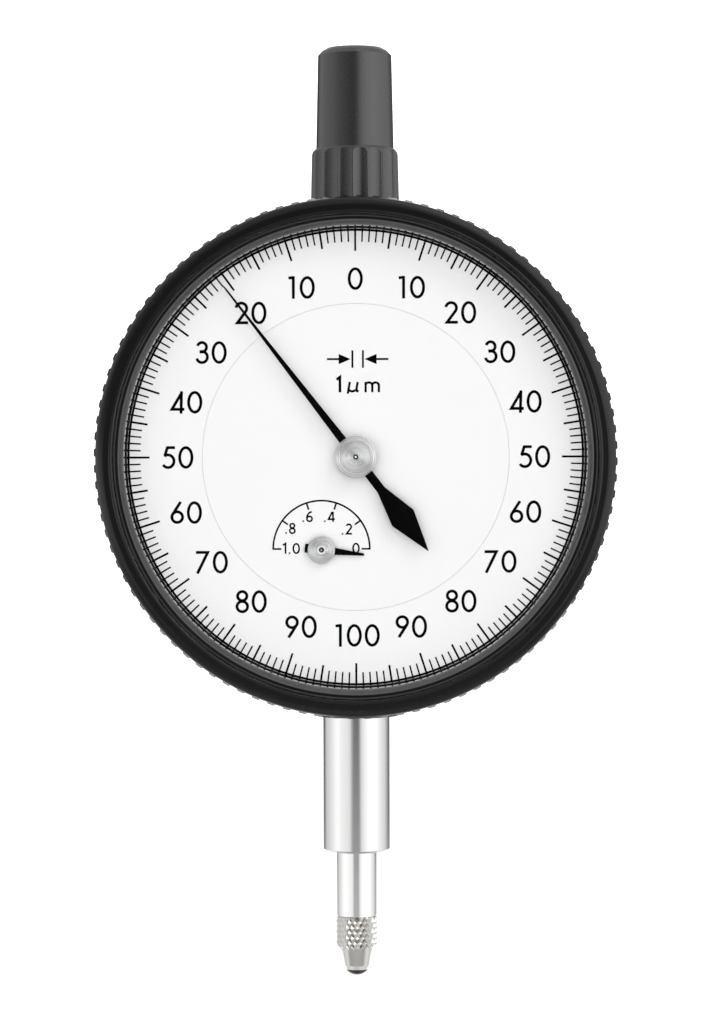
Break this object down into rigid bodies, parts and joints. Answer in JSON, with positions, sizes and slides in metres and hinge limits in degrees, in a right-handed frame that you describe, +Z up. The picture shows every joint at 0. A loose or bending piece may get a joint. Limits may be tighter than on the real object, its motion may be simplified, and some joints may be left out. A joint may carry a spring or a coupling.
{
  "type": "dial indicator",
  "caption": "Plunger dial indicator with a flat back, a stem to clamp, a turning bezel, a jewelled gear train, a pointer and a revolution counter.",
  "frame": {"origin": "centre of the lower end of the mounting stem", "axes": "+Z up along the spindle, away from the contact point; the dial faces -Y; +X to the right of the dial"},
  "size_m": [0.061, 0.0226, 0.1112],
  "materials": {
    "case_paint": "satin black paint over diecast aluminium",
    "stem_steel": "ground hardened steel",
    "bush_bronze": "bronze",
    "cover_aluminium": "satin clear anodised, turned",
    "seal_rubber": "black nitrile rubber",
    "screw_steel": "nickel plated steel",
    "plate_brass": "grained brass",
    "wheel_brass": "cut brass",
    "pinion_steel": "polished steel",
    "spring_steel": "spring steel",
    "jewel_ruby": "polished synthetic ruby",
    "dial_white": "matt white printed dial",
    "bezel_black": "fine satin black moulding",
    "crystal_clear": "clear moulded crystal",
    "hand_black": "matt black",
    "boss_silver": "spun satin",
    "spindle_steel": "polished stainless steel",
    "point_chrome": "bright knurled steel",
    "ball_carbide": "polished carbide",
    "cap_black": "dark grey moulded plastic"
  },
  "bodies": {
    "frame": {"case": "case_paint", "stem": "stem_steel", "spindle_bushes": "bush_bronze", "top_neck": "stem_steel", "back_cover": "cover_aluminium", "cover_gasket": "seal_rubber", "cover_screws": "screw_steel", "front_plate": "plate_brass", "movement_screws": "screw_steel", "pillars": "pinion_steel", "rear_plate": "plate_brass", "plate_screws": "screw_steel", "rack_cock": "plate_brass", "cock_pillars": "pinion_steel", "cock_screws": "screw_steel", "jewels": "jewel_ruby", "guide_rail": "pinion_steel", "spring_post": "pinion_steel", "tension_spring": "spring_steel", "hairspring": "spring_steel", "hairspring_stud": "plate_brass", "centre_dial": "dial_white", "retaining_ring": "spring_steel"},
    "spindle": {"spindle": "spindle_steel", "guide_pin": "pinion_steel", "contact_point": "point_chrome", "contact_ball": "ball_carbide"},
    "bezel": {"bezel": "bezel_black", "crystal": "crystal_clear", "crystal_gasket": "seal_rubber", "dial_ring": "dial_white"},
    "rack_arbor": {"rack_pinion": "pinion_steel", "rack_wheel": "wheel_brass"},
    "second_arbor": {"second_pinion": "pinion_steel", "second_wheel": "wheel_brass"},
    "centre_arbor": {"centre_pinion": "pinion_steel", "pointer": "hand_black", "pointer_boss": "boss_silver"},
    "counter_arbor": {"counter_arbor": "pinion_steel", "counter_wheel": "wheel_brass", "hairspring_collet": "plate_brass", "small_hand": "hand_black", "small_boss": "boss_silver"},
    "cap": {"cap": "cap_black"}
  },
  "joints": [
    {"name": "spindle_slide", "type": "slide", "parent": "frame", "child": "spindle", "axis": [0, 0, 1], "range_m": [0, 0.00105], "stiffness_N_per_m": 150, "springref_m": -0.007, "deforming": ["tension_spring"]},
    {"name": "rack_pinion_spin", "type": "hinge", "parent": "frame", "child": "rack_arbor", "pos_m": [0.0033, 0, 0.06298], "axis": [0, 1, 0], "range_deg": [-0.5, 38.3]},
    {"name": "second_pinion_spin", "type": "hinge", "parent": "frame", "child": "second_arbor", "pos_m": [0.0042, 0, 0.05447], "axis": [0, 1, 0], "range_deg": [-271, 1]},
    {"name": "pointer_spin", "type": "hinge", "parent": "frame", "child": "centre_arbor", "pos_m": [0, 0, 0.0472], "axis": [0, 1, 0], "range_deg": [-2, 1893]},
    {"name": "counter_spin", "type": "hinge", "parent": "frame", "child": "counter_arbor", "pos_m": [-0.00403, 0, 0.03637], "axis": [0, 1, 0], "range_deg": [-190, 1]},
    {"name": "bezel_turn", "type": "hinge", "parent": "frame", "child": "bezel", "pos_m": [0, 0, 0.0472], "axis": [0, 1, 0], "continuous": true},
    {"name": "cap_lift", "type": "slide", "parent": "frame", "child": "cap", "axis": [0, 0, 1], "range_m": [0, 0.03]}
  ],
  "couplings": [
    {"joint": "rack_pinion_spin", "follows": "spindle_slide", "rad_per_m": 628.32},
    {"joint": "second_pinion_spin", "follows": "spindle_slide", "rad_per_m": -4488},
    {"joint": "pointer_spin", "follows": "spindle_slide", "rad_per_m": 31416},
    {"joint": "counter_spin", "follows": "spindle_slide", "rad_per_m": -3141.6}
  ]
}
